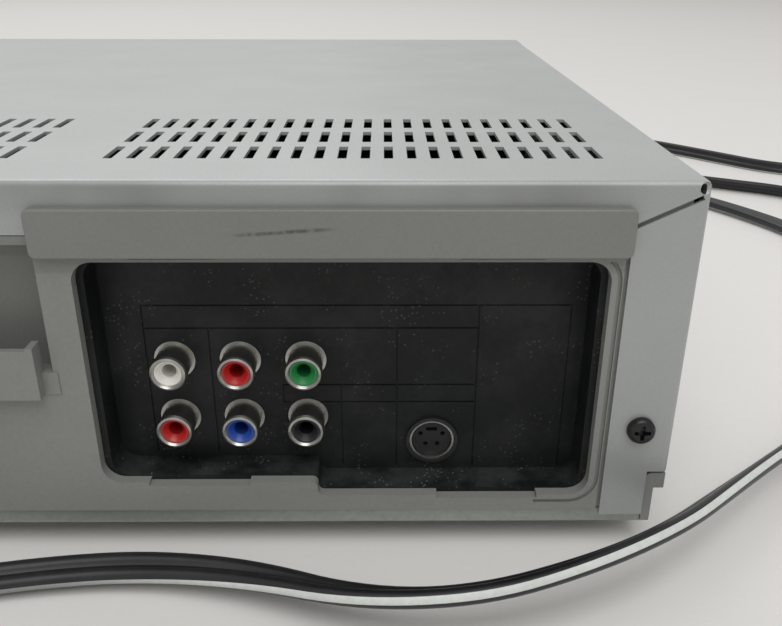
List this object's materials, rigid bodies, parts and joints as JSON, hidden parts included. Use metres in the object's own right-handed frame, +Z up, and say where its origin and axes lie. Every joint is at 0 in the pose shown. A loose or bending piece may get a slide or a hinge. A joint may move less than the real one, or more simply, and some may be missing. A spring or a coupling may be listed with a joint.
{
  "type": "disc and video-cassette player",
  "caption": "Low grey case with a disc tray, a cassette bay and front keys, vented top, recessed rear sockets, cord hooks and an attached mains lead.",
  "frame": {"origin": "on the supporting surface, below the middle of the case", "axes": "+X to the left seen from behind, +Y to the rear, +Z up"},
  "size_m": [0.6908, 0.5298, 0.088],
  "materials": {
    "cover_paint": "satin grey paint on sheet steel",
    "zinc_steel": "dull zinc-plated sheet",
    "panel_grey": "fine-grained moulding",
    "tub_black": "semi-matt moulding",
    "front_silver": "silver-grey moulding",
    "key_grey": "smooth moulding",
    "smoked": "smoked window",
    "plated": "bright nickel plating",
    "screw_black": "black oxide",
    "foot_rubber": "matt",
    "board_green": "laminate with lacquer",
    "parts_black": "matt",
    "lamination": "varnished laminations",
    "sink_aluminium": "mill finish",
    "motor_steel": "plated",
    "drive_black": "moulded",
    "gear_white": "natural moulding",
    "drum_aluminium": "turned and polished",
    "shaft_steel": "ground",
    "lever_steel": "plated with a rubber roller",
    "display_glass": "tinted glass envelope",
    "core_white": "moulded",
    "core_red": "moulded",
    "core_green": "moulded",
    "core_blue": "moulded",
    "core_yellow": "moulded",
    "lead_black": "black sheath with a pale rib"
  },
  "bodies": {
    "case": {"capacitors": "parts_black", "case_screws": "screw_black", "chassis_pan": "zinc_steel", "clamp_bridge": "motor_steel", "corner_hooks": "panel_grey", "din_core": "tub_black", "din_shell": "plated", "display_tube": "display_glass", "display_window": "smoked", "drum_base": "drum_aluminium", "feet": "foot_rubber", "front_bezel": "front_silver", "front_board": "board_green", "guide_rods": "shaft_steel", "heat_sink": "sink_aluminium", "jack_blocks": "parts_black", "jack_blue": "core_blue", "jack_green": "core_green", "jack_panel": "tub_black", "jack_red": "core_red", "jack_shells": "plated", "jack_white": "core_white", "jack_yellow": "core_yellow", "loader_frame": "drive_black", "main_board": "board_green", "mains_lead": "lead_black", "plug": "lead_black", "power_board": "board_green", "rear_panel": "panel_grey", "spindle_motor": "motor_steel", "strain_relief": "lead_black", "tape_deck": "motor_steel", "tape_heads": "motor_steel", "top_cover": "cover_paint", "transformer": "lamination", "tray_motor": "motor_steel", "tuner": "motor_steel"},
    "tray": {"disc_tray": "drive_black", "tray_face": "front_silver"},
    "pinion": {"tray_pinion": "gear_white"},
    "turntable": {"turntable": "drive_black"},
    "clamper": {"clamper": "drive_black"},
    "sled": {"optical_sled": "drive_black"},
    "screw": {"lead_screw": "shaft_steel"},
    "drum": {"head_drum": "drum_aluminium"},
    "capstan": {"capstan": "shaft_steel"},
    "pinch": {"pinch_arm": "lever_steel"},
    "supply": {"supply_reel": "gear_white"},
    "take_up": {"take_up_reel": "gear_white"},
    "carriage": {"holder_slides": "motor_steel"},
    "holder": {"tape_holder": "motor_steel"},
    "flap": {"cassette_flap": "front_silver"},
    "power_key": {"power_key": "key_grey"},
    "open_key": {"open_key": "key_grey"},
    "play_key": {"play_key": "key_grey"},
    "stop_key": {"stop_key": "key_grey"},
    "rewind_key": {"rewind_key": "key_grey"},
    "forward_key": {"forward_key": "key_grey"},
    "record_key": {"record_key": "key_grey"},
    "eject_key": {"eject_key": "key_grey"}
  },
  "joints": [
    {"name": "tray_slide", "type": "slide", "parent": "case", "child": "tray", "axis": [0, -1, 0], "range_m": [0, 0.13]},
    {"name": "pinion_spin", "type": "hinge", "parent": "case", "child": "pinion", "pos_m": [-0.075, -0.1168, 0.05], "axis": [0, 0, 1], "range_deg": [-640, 10]},
    {"name": "turntable_spin", "type": "hinge", "parent": "case", "child": "turntable", "pos_m": [-0.111, -0.064, 0.05], "axis": [0, 0, 1], "continuous": true},
    {"name": "clamper_spin", "type": "hinge", "parent": "case", "child": "clamper", "pos_m": [-0.111, -0.064, 0.07], "axis": [0, 0, 1], "continuous": true},
    {"name": "sled_slide", "type": "slide", "parent": "case", "child": "sled", "axis": [0, 1, 0], "range_m": [0, 0.035]},
    {"name": "screw_spin", "type": "hinge", "parent": "case", "child": "screw", "pos_m": [-0.085, -0.02, 0.0525], "axis": [0, 1, 0], "range_deg": [-10, 1600]},
    {"name": "drum_spin", "type": "hinge", "parent": "case", "child": "drum", "pos_m": [0.095, 0.051, 0.05], "axis": [0, 0, 1], "continuous": true},
    {"name": "capstan_spin", "type": "hinge", "parent": "case", "child": "capstan", "pos_m": [0.147, 0.03, 0.04], "axis": [0, 0, 1], "continuous": true},
    {"name": "pinch_swing", "type": "hinge", "parent": "case", "child": "pinch", "pos_m": [0.167, 0.046, 0.04], "axis": [0, 0, 1], "range_deg": [-35, 0], "stiffness_Nm_per_rad": 0.01, "springref_deg": 17.19},
    {"name": "supply_spin", "type": "hinge", "parent": "case", "child": "supply", "pos_m": [0.049, -0.045, 0.03], "axis": [0, 0, 1], "continuous": true},
    {"name": "take_up_spin", "type": "hinge", "parent": "case", "child": "take_up", "pos_m": [0.141, -0.045, 0.03], "axis": [0, 0, 1], "continuous": true},
    {"name": "carriage_slide", "type": "slide", "parent": "case", "child": "carriage", "axis": [0, 1, 0], "range_m": [0, 0.06]},
    {"name": "holder_drop", "type": "slide", "parent": "carriage", "child": "holder", "axis": [0, 0, -1], "range_m": [0, 0.018]},
    {"name": "flap_swing", "type": "hinge", "parent": "case", "child": "flap", "pos_m": [0.095, -0.13, 0.0765], "axis": [1, 0, 0], "range_deg": [0, 85], "stiffness_Nm_per_rad": 0.02, "springref_deg": -28.65},
    {"name": "power_press", "type": "slide", "parent": "case", "child": "power_key", "axis": [0, 1, 0], "range_m": [0, 0.0011], "stiffness_N_per_m": 400, "springref_m": -0.001},
    {"name": "open_press", "type": "slide", "parent": "case", "child": "open_key", "axis": [0, 1, 0], "range_m": [0, 0.0011], "stiffness_N_per_m": 400, "springref_m": -0.001},
    {"name": "play_press", "type": "slide", "parent": "case", "child": "play_key", "axis": [0, 1, 0], "range_m": [0, 0.0011], "stiffness_N_per_m": 400, "springref_m": -0.001},
    {"name": "stop_press", "type": "slide", "parent": "case", "child": "stop_key", "axis": [0, 1, 0], "range_m": [0, 0.0011], "stiffness_N_per_m": 400, "springref_m": -0.001},
    {"name": "rewind_press", "type": "slide", "parent": "case", "child": "rewind_key", "axis": [0, 1, 0], "range_m": [0, 0.0011], "stiffness_N_per_m": 400, "springref_m": -0.001},
    {"name": "forward_press", "type": "slide", "parent": "case", "child": "forward_key", "axis": [0, 1, 0], "range_m": [0, 0.0011], "stiffness_N_per_m": 400, "springref_m": -0.001},
    {"name": "record_press", "type": "slide", "parent": "case", "child": "record_key", "axis": [0, 1, 0], "range_m": [0, 0.0011], "stiffness_N_per_m": 400, "springref_m": -0.001},
    {"name": "eject_press", "type": "slide", "parent": "case", "child": "eject_key", "axis": [0, 1, 0], "range_m": [0, 0.0011], "stiffness_N_per_m": 400, "springref_m": -0.001}
  ],
  "couplings": [
    {"joint": "pinion_spin", "follows": "tray_slide", "rad_per_m": -83.333},
    {"joint": "clamper_spin", "follows": "turntable_spin", "ratio": 1},
    {"joint": "screw_spin", "follows": "sled_slide", "rad_per_m": 785.4}
  ]
}
